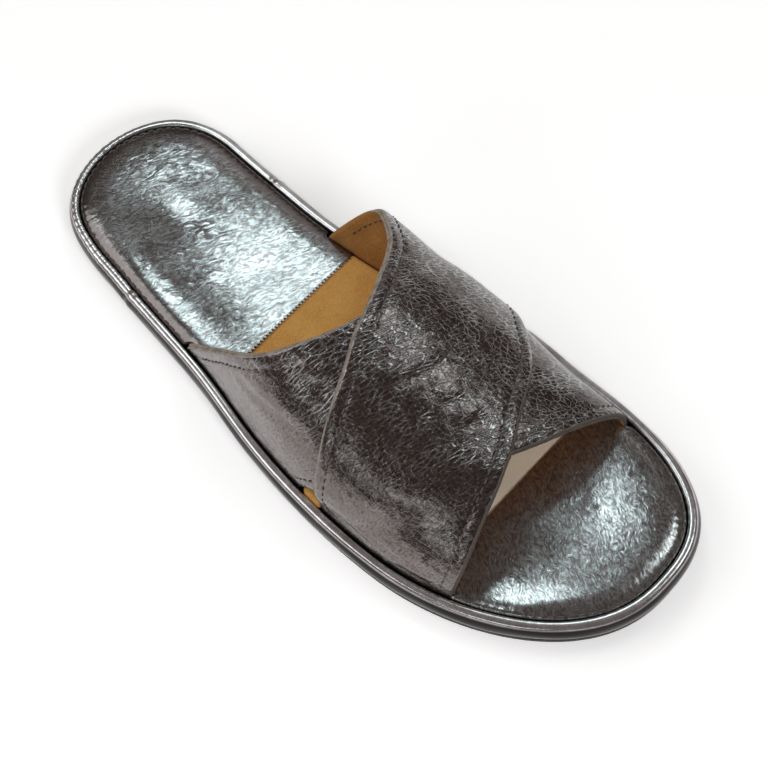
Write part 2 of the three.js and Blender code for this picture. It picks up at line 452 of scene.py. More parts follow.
def rgb(red, green, blue):
    return (red, green, blue, 1.0)


FOIL_DARK = rgb(0.178, 0.151, 0.144)
FOIL_DEEP = rgb(0.10, 0.083, 0.078)
# Painted shade for the foil's dents
FOIL_DENT_SHADE = rgb(0.035, 0.028, 0.026)
# Painted highlight: the bright, cool tint of the folds
FOIL_PAINTED_HIGHLIGHT = rgb(0.46, 0.485, 0.49)
FOIL_RIDGE = rgb(0.265, 0.242, 0.23)
SOCK_DARK = rgb(0.25, 0.23, 0.223)
SOCK_PALE = rgb(0.50, 0.525, 0.53)
SOCK_SEAM = rgb(0.18, 0.163, 0.157)
WRAP_DARK = rgb(0.58, 0.56, 0.56)
WRAP_PALE = rgb(0.78, 0.765, 0.77)
# Painted shade: the wrap's dark lower side, standing in for a dark reflection
WRAP_PAINTED_SHADE = rgb(0.018, 0.014, 0.013)
SUEDE_DEEP = rgb(0.68, 0.34, 0.085)
SUEDE_PALE = rgb(0.95, 0.55, 0.17)
# Painted light: the sock's suede where light falls in near the toe
SUEDE_PAINTED_LIT = rgb(0.96, 0.89, 0.73)
SUEDE_SHEEN = rgb(1.0, 0.80, 0.55)
# The lining's suede: its own tan with painted shade and bounced light of the straps' hollow, darker
# and deeper orange than the sock's
LINING_SHADED_DEEP = rgb(0.36, 0.155, 0.04)
LINING_SHADED_PALE = rgb(0.60, 0.32, 0.105)
EDGE_DEEP = rgb(0.22, 0.185, 0.155)
EDGE_PALE = rgb(0.50, 0.43, 0.36)
EDGE_DARKER = rgb(0.05, 0.04, 0.035)
RUBBER_DEEP = rgb(0.012, 0.009, 0.009)
RUBBER_WORN = rgb(0.035, 0.028, 0.026)
THREAD_DEEP = rgb(0.05, 0.042, 0.038)
THREAD_PALE = rgb(0.17, 0.15, 0.135)
FLOOR_PALE = rgb(0.93, 0.93, 0.93)
FLOOR_GREY = rgb(0.91, 0.91, 0.91)
FLOOR_GLOW = 0.44
ROOM_DARK = rgb(0.10, 0.076, 0.068)

# Where the straps' foil changes, in metres over the foot from the outer seam
FOLDS_OVER = (0.03, 0.05)
NET_OVER = (0.055, 0.095)
DEEP_OVER = (0.085, 0.115)

# Direction of the straps' folds on the flat leather, in degrees
FOLDS_TURN = -18.0


def strap_foil():
    """Crushed foil leather: dark pewter with a net of raised pale creases, clearest over the inner
    side of the foot, short folds over the crest tinted bright as a painted highlight, and dark lines
    of painted shade where it dents."""
    s = Shader("strap_foil")
    flat = s.flat()
    over = s.part(flat, "X")

    bent = s.warp(s.lay(flat, scale=(1.0, 0.66, 1.0)), scale=260, reach=0.0022)
    net = s.creased(bent, scale=620, width=0.085)
    broken = s.map(s.noise(flat, scale=300), 0.34, 0.6, start=0.25)
    clear = s.product(s.product(net, broken), s.map(over, *NET_OVER, start=0.3))
    crackled = s.warp(s.lay(flat, FOLDS_TURN, (0.22, 1.0, 1.0)), scale=420, reach=0.0012)
    fine = s.creased(crackled, scale=1500, width=0.15)
    patchy = s.map(s.noise(flat, scale=700, detail=2.0), 0.46, 0.62, end=0.45)
    lines = s.sum(clear, s.product(fine, patchy))

    drawn = s.warp(s.lay(flat, FOLDS_TURN, (0.32, 1.0, 1.0)), scale=300, reach=0.0016)
    crumpled = s.map(s.noise(flat, scale=95, detail=2.0), 0.38, 0.6, start=0.15)
    crumpled = s.product(crumpled, s.map(over, *FOLDS_OVER, start=0.25))
    folds = s.product(s.creased(drawn, scale=760, width=0.22), crumpled)

    dented = s.warp(s.lay(flat, FOLDS_TURN, (0.25, 1.0, 1.0)), scale=380, reach=0.0014)
    some = s.map(s.noise(flat, scale=850, detail=2.0), 0.42, 0.6, end=0.75)
    dent_shade = s.product(s.creased(dented, scale=1050, width=0.2), some)

    grain = s.noise(s.lay(flat, scale=(1.0, 0.5, 1.0)), scale=1900)
    crush = s.noise(s.warp(flat, scale=120, reach=0.006), scale=380, roughness=0.6)
    facets = s.facets(bent, scale=620, lean=0.05)
    ridges = s.sum(lines, s.product(folds, 0.12))
    worn = s.product(ridges, s.map(grain, 0.3, 0.7, start=0.5))

    foil = s.mix(s.map(over, *DEEP_OVER), FOIL_DARK, FOIL_DEEP)
    # Painted shade: dark lines where the foil dents, which have no relief of their own
    foil = s.mix(dent_shade, foil, FOIL_DENT_SHADE)
    # Painted highlight: the folds are tinted bright and cool, as if they caught the light
    foil = s.mix(s.product(folds, 0.85), foil, FOIL_PAINTED_HIGHLIGHT)
    tone = s.mix(worn, foil, FOIL_RIDGE)
    metal = s.map(worn, 0.0, 1.0, start=0.95, end=0.3)
    rough = s.map(crush, 0.3, 0.7, start=0.16, end=0.25)
    normal = s.bump((lines, 0.06), (folds, 0.085), (facets, 1.0), (crush, 0.045), (grain, 0.04))
    return s.surface(Base_Color=tone, Metallic=metal, Roughness=rough, Normal=normal, Coat_Weight=0.08)


def sock_foil(name, turn, fineness):
    """Softer foil leather with fine streaked crinkles that run one way, darker where so marked."""
    s = Shader(name)
    place = s.place()
    undarkened = s.part(s.flat(), "Z")
    drawn = s.lay(s.warp(place, scale=150, reach=0.006), turn, (0.28, 1.0, 1.0))
    streaks = s.noise(drawn, scale=1250 * fineness, roughness=0.6)
    facets = s.facets(drawn, scale=1400 * fineness, lean=0.034)
    broad = s.noise(s.lay(place, turn, (0.45, 1.0, 1.0)), scale=95)
    grain = s.noise(place, scale=2600, detail=2.0)
    bright = s.mix(s.map(streaks, 0.38, 0.60), SOCK_DARK, SOCK_PALE)
    tone = s.mix(s.map(undarkened, 0.0, MM), SOCK_SEAM, bright)
    rough = s.map(broad, 0.3, 0.7, start=0.16, end=0.24)
    normal = s.bump((streaks, 0.02), (facets, 1.0), (grain, 0.004), (broad, 0.1))
    return s.surface(Base_Color=tone, Metallic=0.92, Roughness=rough, Normal=normal, Coat_Weight=0.05)


# Heights on the platform, in metres, between which the wrap's painted shade below its crest gives way
# to its own bright tone
PAINTED_SHADE_HEIGHTS = (0.0092, 0.0106)


def wrap_leather():
    """Smooth glossy leather drawn tight round the platform, bright on top, with painted shade below
    its crest for the dark reflection of its lower side.
    """
    s = Shader("wrap_leather")
    place = s.place()
    height = s.part(s.flat(), "Y")
    drawn = s.noise(place, scale=240)
    grain = s.noise(place, scale=1500)
    upper = s.mix(s.map(drawn, 0.35, 0.7), WRAP_DARK, WRAP_PALE)
    # Painted shade: the wrap turns dark below its crest
    tone = s.mix(s.map(height, *PAINTED_SHADE_HEIGHTS), WRAP_PAINTED_SHADE, upper)
    rough = s.map(grain, 0.3, 0.7, start=0.19, end=0.25)
    normal = s.bump((drawn, 0.02), (grain, 0.003))
    return s.surface(Base_Color=tone, Metallic=0.9, Roughness=rough, Normal=normal, Coat_Weight=0.03)


# Where the suede's painted light and the cut edges' darker tone come in towards the toe, in metres
# ahead of the middle of the sole
TOE_TONE_AHEAD = (0.048, 0.062)

# Direction in which the suede is brushed, in degrees
NAP_TURN = 20.0


def suede(name, deep, pale, painted_lit=None):
    """Brushed suede: short nap and soft patches, paler towards the toe as painted light if a lit tone
    is given.
    """
    s = Shader(name)
    place = s.place()
    brushed_way = s.lay(place, NAP_TURN, (1.0, 0.55, 1.0))
    nap = s.noise(brushed_way, scale=2300, detail=4.0, roughness=0.65)
    patches = s.noise(place, scale=110)
    brushed = s.sum(s.product(nap, 0.75), s.product(patches, 0.4))
    tone = s.mix(s.map(brushed, 0.35, 0.8), deep, pale)
    if painted_lit:
        ahead = s.part(place, "Y")
        # Painted light: paler towards the toe
        tone = s.mix(s.map(ahead, *TOE_TONE_AHEAD, end=0.95), tone, painted_lit)
    normal = s.bump((nap, 0.12), (patches, 0.08))
    return s.surface(
        Base_Color=tone,
        Roughness=0.93,
        Normal=normal,
        Sheen_Weight=0.12,
        Sheen_Roughness=0.45,
        Sheen_Tint=SUEDE_SHEEN,
        Specular_IOR_Level=0.15,
    )


def cut_edge():
    """The straps' raw cut edges: pale fibres with dark spots, darker towards the toe."""
    s = Shader("cut_edge")
    place = s.place()
    fibre = s.noise(place, scale=1300, detail=4.0, roughness=0.7)
    spots = s.noise(place, scale=330)
    mottled = s.sum(s.product(fibre, 0.6), s.product(spots, 0.5))
    raw = s.mix(s.map(mottled, 0.38, 0.72), EDGE_DEEP, EDGE_PALE)
    ahead = s.part(place, "Y")
    # Darker towards the toe
    tone = s.mix(s.map(ahead, *TOE_TONE_AHEAD, end=0.85), raw, EDGE_DARKER)
    return s.surface(Base_Color=tone, Roughness=0.75, Normal=s.bump((fibre, 0.1)))


def sole_rubber():
    """Matt dark rubber with a fine pebbled tread."""
    s = Shader("sole_rubber")
    place = s.place()
    pebble = s.creased(place, scale=330, width=0.35)
    dust = s.noise(place, scale=420, detail=4.0, roughness=0.65)
    tone = s.mix(s.map(dust, 0.4, 0.75), RUBBER_DEEP, RUBBER_WORN)
    rough = s.map(dust, 0.3, 0.7, start=0.5, end=0.72)
    normal = s.bump((pebble, -0.13), (dust, 0.08))
    return s.surface(Base_Color=tone, Roughness=rough, Normal=normal, Specular_IOR_Level=0.35)


def thread():
    """Waxed sewing thread."""
    s = Shader("thread")
    place = s.place()
    twist = s.noise(place, scale=3000, detail=2.0)
    tone = s.mix(s.map(twist, 0.35, 0.65), THREAD_DEEP, THREAD_PALE)
    return s.surface(Base_Color=tone, Roughness=0.5, Normal=s.bump((twist, 0.06)))


def floor_paint():
    """A plain pale studio floor."""
    s = Shader("floor_paint")
    tone = s.mix(s.noise(s.place(), scale=6, detail=2.0), FLOOR_GREY, FLOOR_PALE)
    return s.surface(
        Base_Color=tone,
        Roughness=0.6,
        Specular_IOR_Level=0.2,
        Emission_Color=FLOOR_PALE,
        Emission_Strength=FLOOR_GLOW,
    )


FOIL = strap_foil()
WRAP = wrap_leather()
SUEDE = suede("sock_suede", SUEDE_DEEP, SUEDE_PALE, SUEDE_PAINTED_LIT)
# The lining: suede with painted shade and bounced light
LINING = suede("lining_suede", LINING_SHADED_DEEP, LINING_SHADED_PALE)
EDGE = cut_edge()
RUBBER = sole_rubber()
THREAD = thread()
SOCK_FOILS = {
    "sock_heel": sock_foil("heel_foil", turn=27.0, fineness=1.0),
    "sock_toe": sock_foil("toe_foil", turn=-64.0, fineness=1.3),
}

# The sole

# Joins of the wrap's two lengths, as a side and a place along the sole
WRAP_JOINS = table("side along", (1, 53), (-1, 60))
JOIN_DEPTH = 0.35
JOIN_WIDTH = 0.6
JOIN_LIP = 0.2
JOIN_LIP_AHEAD = 2.2
JOIN_LIP_WIDTH = 1.6

# Puckers of the wrap beside the seam, deeper where it is gathered round the outer heel
PUCKER = 0.012
PUCKER_GATHERED = 0.10
PUCKER_RISE = 1.5
GATHERED_ALONG = (80.0, 50.0)
GATHERED_ACROSS = (-24.0, -10.0)

# Slow waves round the wrap: height, length for a radian, and radians for a millimetre of height
WRAP_WAVES = table("height length climb", (0.05, 9.0, 0), (0.04, 5.3, 1))


def outsole():
    rings = []
    for inset, height in zip(*OUTSOLE_PROFILE.values()):
        rings.append(lifted(LOOP.inside(inset), height))
    piece = new_piece("outsole_rubber", *swept(rings), [RUBBER], "rubber")
    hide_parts("outsole")


def wrap_relief(height):
    """How far the wrap stands out at a height: puckers beside the seam and the two joins."""
    wave = np.cos(2 * math.pi * LOOP.walked / SEAM_PITCH)
    x, along = LOOP.points.T
    gathered = ramp(along, *GATHERED_ALONG) * ramp(x, *GATHERED_ACROSS)
    relief = (PUCKER + PUCKER_GATHERED * gathered) * wave * smooth((height - BED) / PUCKER_RISE)
    for swell, length, climb in zip(*WRAP_WAVES.values()):
        relief = relief + swell * np.sin(LOOP.walked / length + climb * height)
    for side, join in zip(*WRAP_JOINS.values()):
        apart = np.where(LOOP.side == side, along - join, LENGTH)
        relief = relief - JOIN_DEPTH * bell(apart, JOIN_WIDTH)
        relief = relief + JOIN_LIP * bell(apart - JOIN_LIP_AHEAD, JOIN_LIP_WIDTH)
    return relief


def platform():
    corner = np.column_stack([PLATFORM_PROFILE["inset"], PLATFORM_PROFILE["height"]])
    path = dict(PLATFORM_PROFILE, at=walked(corner))
    at = np.linspace(0, path["at"][-1], PLATFORM_STEPS + 1)
    inset = curve(path, "at", "inset", at)
    height = curve(path, "at", "height", at)
    outward = unit(np.column_stack([-np.gradient(height), np.gradient(inset)]))
    rings = []
    flat = []
    for k in range(PLATFORM_STEPS + 1):
        level = np.full(LOOP.count, height[k])
        flat.append(np.column_stack([LOOP.walked, level, np.zeros(LOOP.count)]))
        ends = k in (0, PLATFORM_STEPS)
        relief = 0 if ends else wrap_relief(height[k])
        plan = LOOP.inside(inset[k] + outward[k, 0] * relief)
        rings.append(lifted(plan, height[k] + outward[k, 1] * relief))
    piece = new_piece("platform_wrap", *swept(rings), [WRAP], "wrap", flat=np.concatenate(flat))
    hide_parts("platform")


def sewn_share():
    """1 where the sock's margin is sewn down beside the rand, 0 beside the straps' feet."""
    along = LOOP.points[:, 1]
    outer = LOOP.side > 0
    first = np.where(outer, UNDER_STRAP["rear"][0], TOP_STRAP["rear"][-1])
    last = np.where(outer, TOP_STRAP["front"][0], UNDER_STRAP["front"][-1])
    ends = np.maximum(ramp(first - along, *SEWN_CLEAR), ramp(along - last, *SEWN_CLEAR))
    gap = ramp(along - UNDER_STRAP["front"][0], *SEWN_CLEAR)
    gap = gap * ramp(TOP_STRAP["rear"][0] - along, *SEWN_CLEAR)
    return np.maximum(ends, np.where(outer, gap, 0))


# Where the padding starts to be full and where it is: across the sole, from behind and from ahead
FULL_ACROSS = (10.0, 22.0)
FULL_BEHIND = (206.0, 212.0)
FULL_AHEAD = (246.0, 230.0)
FULL_SEAM_FADE = 2.0


def full_share(plan):
    """1 at the outer side of the toe, where the padding stays full up to the seam."""
    x, along = plan.T
    return ramp(x, *FULL_ACROSS) * ramp(along, *FULL_BEHIND) * ramp(along, *FULL_AHEAD)


def sock_relief(plan, inset):
    """Height of the covers' hollows and swells, which level out towards the sewn margin."""
    height = 0
    for x, along, across, ahead, turn, swell in zip(*SOCK_SWELLS.values()):
        angle = math.radians(turn)
        east, north = (plan - (x, along)).T
        over = east * math.cos(angle) + north * math.sin(angle)
        onward = north * math.cos(angle) - east * math.sin(angle)
        height = height + swell * bell(over, across) * bell(onward, ahead)
    at_margin = ramp(inset, *SWELL_INSETS)
    at_full_margin = full_share(plan) * smooth((inset - SEAM_OUTER) / FULL_SEAM_FADE)
    return height * np.maximum(at_margin, at_full_margin)


# Distances inwards between which the heel's foil turns from its darker margin tone to its own tone
DARKENING_INSETS = (6.2, 11.5)

# Puckers of the sock's margin along its row of stitches
SOCK_PUCKER = 0.14
SOCK_PUCKER_INSET = 5.8
SOCK_PUCKER_WIDTH = 1.2


def undarkened_share(plan, inset):
    """0 on the heel's margin beside the seam, where the foil is darker, and 1 away from it."""
    ahead = ramp(plan[:, 1], SOCK_REAR_CUT, SOCK_FRONT_CUT)
    return np.maximum(ramp(inset, *DARKENING_INSETS), ahead)


def sock_rings(drop):
    """Rings of the whole sock, from its foot over its edge to near its middle line, and how far from
    its darker margin tone the foil is at each of their points: 0 along the heel's seam, 1 elsewhere."""
    sewn = sewn_share()
    pucker = SOCK_PUCKER * np.cos(2 * math.pi * LOOP.walked / SEAM_PITCH) * sewn
    rings = []
    undarkened = []
    for free_inset, free_height, sewn_inset, sewn_height, full_height in zip(*SOCK_EDGE.values()):
        inset = free_inset + (sewn_inset - free_inset) * sewn
        plan = LOOP.inside(inset)
        at_seam = sewn_height + (full_height - sewn_height) * full_share(plan)
        height = free_height + (at_seam - free_height) * sewn
        fold = bell(sewn_inset - SOCK_PUCKER_INSET, SOCK_PUCKER_WIDTH) if rings else 0.0
        height = height + pucker * fold + sock_relief(plan, inset)
        rings.append(lifted(plan, height - (drop if rings else 0)))
        undarkened.append(undarkened_share(plan, inset))
    start = LOOP.inside(SOCK_CROWN["inset"][0])
    spine = LOOP.spine()
    reach = np.linalg.norm(spine - start, axis=1)
    for step in range(1, SOCK_SPINE_STEPS):
        share = step / SOCK_SPINE_STEPS
        plan = start + (spine - start) * share
        inset = SOCK_CROWN["inset"][0] + reach * share
        height = curve(SOCK_CROWN, "inset", "height", inset) + sock_relief(plan, inset)
        rings.append(lifted(plan, height - drop))
        undarkened.append(undarkened_share(plan, inset))
    return rings, np.concatenate(undarkened)


def cut_across(piece, start, end):
    """Keeps the stretch of a piece between two cuts straight across the foot."""
    shape = bmesh.new()
    shape.from_mesh(piece.data)
    for along, facing in ((start, -1), (end, 1)):
        everything = shape.verts[:] + shape.edges[:] + shape.faces[:]
        middle = Vector((0, (along - LENGTH / 2) * MM, 0))
        cut = bmesh.ops.bisect_plane(
            shape, geom=everything, plane_co=middle, plane_no=(0, facing, 0), clear_outer=True
        )
        rim = [item for item in cut["geom_cut"] if isinstance(item, bmesh.types.BMEdge)]
        if rim:
            bmesh.ops.edgeloop_fill(shape, edges=rim)
            for item in rim:
                item.smooth = False
    shape.to_mesh(piece.data)
    shape.free()


def sock(node, start, end, drop, material, slot, fill):
    rings, undarkened = sock_rings(drop)
    flat = np.column_stack([np.zeros_like(undarkened), np.zeros_like(undarkened), undarkened])
    piece = new_piece(node + "_cover", *swept(rings), [material], slot, flat=flat)
    cut_across(piece, start, end)
    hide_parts(node)


PAST_ENDS = 1.0
FOIL_FILL = 0.9
SUEDE_FILL = 0.85


def socks():
    heel = SOCK_FOILS["sock_heel"]
    toe = SOCK_FOILS["sock_toe"]
    middle = (SOCK_REAR_CUT + GAP, SOCK_FRONT_CUT - GAP)
    sock("sock_heel", -PAST_ENDS, SOCK_REAR_CUT, 0.0, heel, "foil", FOIL_FILL)
    sock("sock_middle", *middle, SUEDE_DROP, SUEDE, "suede", SUEDE_FILL)
    sock("sock_toe", SOCK_FRONT_CUT, LENGTH + PAST_ENDS, 0.0, toe, "foil", FOIL_FILL)


# The heel cover's pinked front edge

TOOTH_PITCH = 1.4
TOOTH_REACH = 1.2
TOOTH_THICK = 0.5
TOOTH_PROUD = 0.02
TOOTH_CLEAR = 1.4
TOOTH_FACES = ((2, 1, 0), (3, 4, 5), (0, 1, 4, 3), (1, 2, 5, 4), (2, 0, 3, 5))


def pinked_edge():
    low = inset_edge(SOCK_REAR_CUT, -1, SOCK_INSET + TOOTH_CLEAR)
    high = inset_edge(SOCK_REAR_CUT, 1, SOCK_INSET + TOOTH_CLEAR)
    count = int((high - low) / TOOTH_PITCH)
    pitch = (high - low) / count
    points = []
    faces = []
    for k in range(count):
        left = low + k * pitch
        corners = [(left, 0.0), (left + pitch, 0.0), (left + pitch / 2, TOOTH_REACH)]
        base = len(points)
        for level in (-TOOTH_THICK, TOOTH_PROUD):
            for x, ahead in corners:
                along = SOCK_REAR_CUT + ahead
                inset = min(edge(along, 1) - x, x - edge(along, -1))
                top = np.interp(inset, SOCK_TOP["inset"], SOCK_TOP["height"])
                points.append((x, along - LENGTH / 2, top + level + rise(along)))
        faces += [[base + corner for corner in face] for face in TOOTH_FACES]
    materials = [SOCK_FOILS["sock_heel"], EDGE]
    kinds = [0, 0, 1, 1, 1] * count
    darkened = np.zeros((len(points), 3))
    piece = new_piece("heel_cover_pinking", points, faces, materials, "foil", kinds, darkened)
    piece.data.shade_flat()


# The straps

LINING_THICK = 0.7
LINING_PROUD = 0.45
RIM_ROUND = 0.8
RIM_STEPS = 4
STITCH_ROW = 3.9
STITCH_PITCH = 3.1
STITCH_LENGTH = 2.3
STITCH_RADIUS = 0.26
STITCH_SIZES = (STITCH_PITCH, STITCH_LENGTH, STITCH_RADIUS)
MARGIN_STEPS = (0.9, 1.5, 2.1, 2.7, 3.2, 3.6, 3.9, 4.2, 4.6, 5.2, 5.9)
MARGIN = 6.6
STRAP_ROWS = 210
MIDDLE_COLUMNS = 46
OVER_STEPS = 800

# Slack waves of the leather: height, and lengths for a radian over and along the foot
SLACK_WAVES = table("height over along", (0.16, 8.5, 13.0), (0.13, 5.1, -7.7))

# The furrow under each row of stitches, its waviness, and the swell between it and the edge
FURROW_DEPTH = 0.30
FURROW_WIDTH = 0.75
FURROW_WAVE = 0.25
RIM_SWELL = 0.16
RIM_SWELL_WIDTH = 1.4

# A crease's ridge beside its trough, in half widths, and the share of its length that tapers
RIDGE_APART = 1.9
RIDGE_WIDTH = 1.2
CREASE_TAPER = 0.25

# Where the relief dies out: a share from the seams and a distance from the edges
SETTLED_SHARE = 0.06
SETTLED_RIM = 1.5

# Main creases of each strap: two ends as share and along, depth and half width
CREASES = {
    "under": table(
        "share_a along_a share_b along_b depth width",
        (0.14, 118, 0.20, 150, 0.35, 2.4),
        (0.30, 140, 0.36, 152, 0.30, 2.0),
    ),
    "over": table(
        "share_a along_a share_b along_b depth width",
        (0.445, 164.5, 0.56, 169.8, 0.35, 1.6),
        (0.48, 178.2, 0.535, 181.6, 0.30, 1.4),
        (0.47, 187.6, 0.535, 189.4, 0.30, 1.4),
        (0.06, 172, 0.05, 186, 0.25, 1.2),
        (0.09, 183, 0.07, 197, 0.25, 1.2),
        (0.05, 192, 0.045, 206, 0.25, 1.2),
        (0.11, 198, 0.09, 209, 0.22, 1.2),
    ),
}


def last_point(share, along):
    """The lining's surface: an arch from seam to seam, swollen at the sides."""
    outer = inset_edge(along, 1, STRAP_FOOT_INSET)
    inner = inset_edge(along, -1, STRAP_FOOT_INSET)
    foot = BED + GAP + rise(along)
    angle = math.pi * share
    side = np.sign(np.cos(angle))
    values = {}
    for name in ("square", "swell"):
        of_outer = curve(LAST, "along", "outer_" + name, along)
        values[name] = np.where(side > 0, of_outer, curve(LAST, "along", "inner_" + name, along))
    level = np.abs(np.sin(angle)) ** (2 / values["square"])
    across = side * np.abs(np.cos(angle)) ** (2 / values["square"])
    arch = (outer + inner) / 2 + (outer - inner) / 2 * across
    x = arch + side * values["swell"] * np.sin(math.pi * level) ** 2
    z = foot + (curve(LAST, "along", "crest", along) - foot) * level
    return np.stack([x, along - LENGTH / 2, z], -1)


SHARE_STEP = 0.001
ALONG_STEP = 0.2


def over_direction(share, along):
    """Change of the lining's surface over the foot, for a whole share."""
    inside = np.clip(share, 2 * SHARE_STEP, 1 - 2 * SHARE_STEP)
    ahead = last_point(inside + SHARE_STEP, along)
    return (ahead - last_point(inside - SHARE_STEP, along)) / (2 * SHARE_STEP)


def wall_out(share, along):
    """Direction out of the lining's surface."""
    forward = last_point(share, along + ALONG_STEP) - last_point(share, along - ALONG_STEP)
    return unit(np.cross(forward, over_direction(share, along)))


def wall_point(share, along, offset):
    """A point standing off the lining's surface."""
    return last_point(share, along) + wall_out(share, along) * np.asarray(offset)[..., None]


def beyond_under(share, along):
    """How far past the lower strap's edges a place lies, along the foot; 0 on that strap."""
    rear = curve(UNDER_STRAP, "share", "rear", share)
    front = curve(UNDER_STRAP, "share", "front", share)
    return np.maximum(np.maximum(rear - along, along - front), 0)


def top_lift(share, along):
    """How far the top strap stands off the lining where it climbs over the lower strap."""
    free = ramp(np.minimum(share, 1 - share), *CROSSING_FREE)
    climb = 1 - smooth(beyond_under(share, along) / CROSSING_CLIMB)
    return (WALL - CROSSING_SINK) * free * climb


def no_lift(share, along):
    return np.zeros(np.broadcast(share, along).shape)


class Strap:
    """One strap: its edges, how far it stands off the lining's surface, and its creases."""

    def __init__(self, name, edges, lift):
        self.name = name
        self.edges = edges
        self.lift = lift
        self.creases = CREASES[name]

    def edge(self, which, share):
        return curve(self.edges, "share", which, share)

    def slant(self, which, share):
        """Distance along the foot for each millimetre square to an edge."""
        step = 0.01
        before = np.clip(share - step, 0, 1)
        after = np.clip(share + step, 0, 1)
        turn = (self.edge(which, after) - self.edge(which, before)) / (after - before)
        spread = np.linalg.norm(over_direction(share, self.edge(which, share)), axis=-1)
        return np.hypot(1, turn / spread)

    def inward(self, which, share, distance):
        """Place along the foot at a distance inside an edge."""
        way = 1 if which == "rear" else -1
        return self.edge(which, share) + way * distance * self.slant(which, share)

    def columns(self, shares, steps, margin, middle):
        """Places along the foot, a row for each share, from the rear edge to the front."""
        rear = [self.inward("rear", shares, step) for step in steps]
        front = [self.inward("front", shares, step) for step in steps]
        first = self.inward("rear", shares, margin)
        final = self.inward("front", shares, margin)
        inner = [first + (final - first) * share for share in np.linspace(0, 1, middle)]
        return np.stack([*rear, *inner, *front[::-1]], 1)

    def from_edges(self, shares, along):
        """Distances square to the rear and front edges."""
        rear = (along - self.edge("rear", shares)) / self.slant("rear", shares)
        front = (self.edge("front", shares) - along) / self.slant("front", shares)
        return rear, front

    def over_distance(self, shares):
        """Distance over the foot from the outer seam, on the strap's middle line."""
        fine = np.linspace(0, 1, OVER_STEPS)
        middle = (self.edge("rear", fine) + self.edge("front", fine)) / 2
        spread = np.linalg.norm(over_direction(fine, middle), axis=-1)
        reached = np.concatenate([[0], np.cumsum((spread[1:] + spread[:-1]) / 2 * np.diff(fine))])
        return np.interp(shares, fine, reached)

    def relief(self, shares, along):
        """How far the leather's face stands out: sewn furrows, creases and slack waves."""
        rear, front = self.from_edges(shares, along)
        over = self.over_distance(shares)
        height = 0
        for swell, over_length, along_length in zip(*SLACK_WAVES.values()):
            height = height + swell * np.sin(over / over_length + along / along_length)
        wave = 1 - FURROW_WAVE + FURROW_WAVE * np.cos(2 * math.pi * over / STITCH_PITCH)
        for distance in (rear, front):
            height = height - FURROW_DEPTH * wave * bell(distance - STITCH_ROW, FURROW_WIDTH)
            height = height + RIM_SWELL * bell(distance - STITCH_ROW / 2, RIM_SWELL_WIDTH)
        rows = zip(*self.creases.values())
        for share_a, along_a, share_b, along_b, depth, width in rows:
            start = np.array([self.over_distance(share_a), along_a])
            end = np.array([self.over_distance(share_b), along_b])
            length = np.linalg.norm(end - start)
            way = (end - start) / length
            x = over - start[0]
            y = along - start[1]
            run = (x * way[0] + y * way[1]) / length
            apart = x * way[1] - y * way[0]
            reach = smooth(run / CREASE_TAPER) * smooth((1 - run) / CREASE_TAPER)
            ridge = bell(apart - RIDGE_APART * width, RIDGE_WIDTH * width)
            height = height + depth * reach * (ridge - bell(apart, width))
        settled = smooth(np.minimum(shares, 1 - shares) / SETTLED_SHARE)
        return height * settled * smooth(np.minimum(rear, front) / SETTLED_RIM)


STRAPS = [Strap("under", UNDER_STRAP, no_lift), Strap("over", TOP_STRAP, top_lift)]


def two_sided(face, back):
    """Points and faces of a sheet from the grids of points on its outer and inner sides, and for
    each face a kind: 0 on the outer side, 1 on the cut edges and 2 on the inner side."""
    rows, columns = face.shape[:2]
    sheet = rows * columns
    index = np.arange(sheet).reshape(rows, columns)
    a = index[:-1, :-1].ravel()
    b = index[:-1, 1:].ravel()
    c = index[1:, 1:].ravel()
    d = index[1:, :-1].ravel()
    outer = np.stack([a, b, c, d], 1)
    inner = np.stack([d, c, b, a], 1) + sheet
    border = [index[:, 0][::-1], index[-1][::-1], index[:, -1], index[0]]
    rims = [np.stack([line[:-1], line[:-1] + sheet, line[1:] + sheet, line[1:]], 1) for line in border]
    rims = np.concatenate(rims)
    kinds = [0] * len(outer) + [2] * len(inner) + [1] * len(rims)
    points = np.concatenate([face.reshape(-1, 3), back.reshape(-1, 3)])
    return points, np.concatenate([outer, inner, rims]).tolist(), kinds


def strap_leather(strap):
    """The strap's foil leather, with rounded raw edges."""
    quarter = np.linspace(0, math.pi / 2, RIM_STEPS)
    rim_steps = RIM_ROUND * (1 - np.cos(quarter))
    rim_drop = RIM_ROUND * (1 - np.sin(quarter))
    steps = [*rim_steps, *MARGIN_STEPS]
    shares = np.linspace(0, 1, STRAP_ROWS + 1)
    along = strap.columns(shares, steps, MARGIN, MIDDLE_COLUMNS)
    grid = np.broadcast_to(shares[:, None], along.shape)
    drop = np.zeros(along.shape[1])
    drop[: len(quarter)] = rim_drop
    drop[-len(quarter):] = rim_drop[::-1]
    lift = strap.lift(grid, along)
    face = wall_point(grid, along, lift + WALL - drop + strap.relief(grid, along))
    back = wall_point(grid, along, lift + LINING_THICK)
    points, faces, kinds = two_sided(face, back)
    kinds = np.array(kinds)
    columns = along.shape[1] - 1
    column = np.arange(STRAP_ROWS * columns) % columns
    rounded = (column < len(quarter) - 2) | (column >= columns - len(quarter) + 2)
    kinds[: len(column)][rounded] = 1
    over = np.broadcast_to(strap.over_distance(shares)[:, None], along.shape)
    side = 0 if strap.name == "over" else LENGTH
    flat = np.stack([over, along + side, np.zeros_like(along)], -1).reshape(-1, 3)
    flat = np.concatenate([flat, flat])
    materials = [FOIL, EDGE, LINING]
    piece = new_piece("strap_" + strap.name, points, faces, materials, "foil", kinds, flat)
    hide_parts("upper")


LINING_ROWS = 120
LINING_COLUMNS = 30


